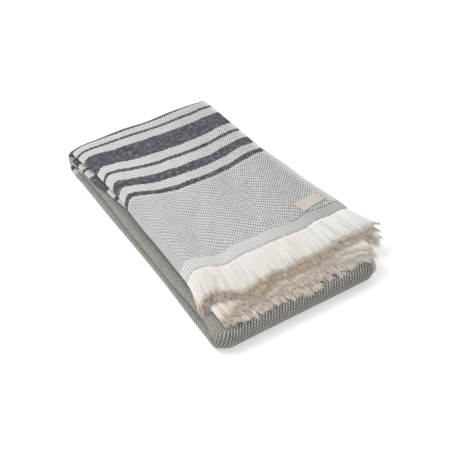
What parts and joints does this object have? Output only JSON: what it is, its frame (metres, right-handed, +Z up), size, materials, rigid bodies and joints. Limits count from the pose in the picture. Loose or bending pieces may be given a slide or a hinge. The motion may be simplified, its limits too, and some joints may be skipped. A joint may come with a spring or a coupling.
{
  "type": "hammam towel",
  "caption": "Flat-woven striped cotton hammam towel, folded flat in sixteen layers, with a cut fringe at both ends showing at the front and a small bare woven label.",
  "frame": {"origin": "on the floor, at the centre of the folded towel's box", "axes": "+Z up, +Y from the fringed front to the folded back, +X to the side with the loose edges"},
  "size_m": [0.2921, 0.4618, 0.0472],
  "materials": {
    "cotton": "matt birdseye weave in ecru and grey yarn, with plain charcoal stripes near each end",
    "yarn": "loose undyed cotton yarn with cut ends",
    "label_tape": "fine matt woven tape, bare"
  },
  "bodies": {
    "root": {"towel": "cotton", "fringe_top": "yarn", "fringe_under": "yarn", "label": "label_tape"}
  },
  "joints": []
}
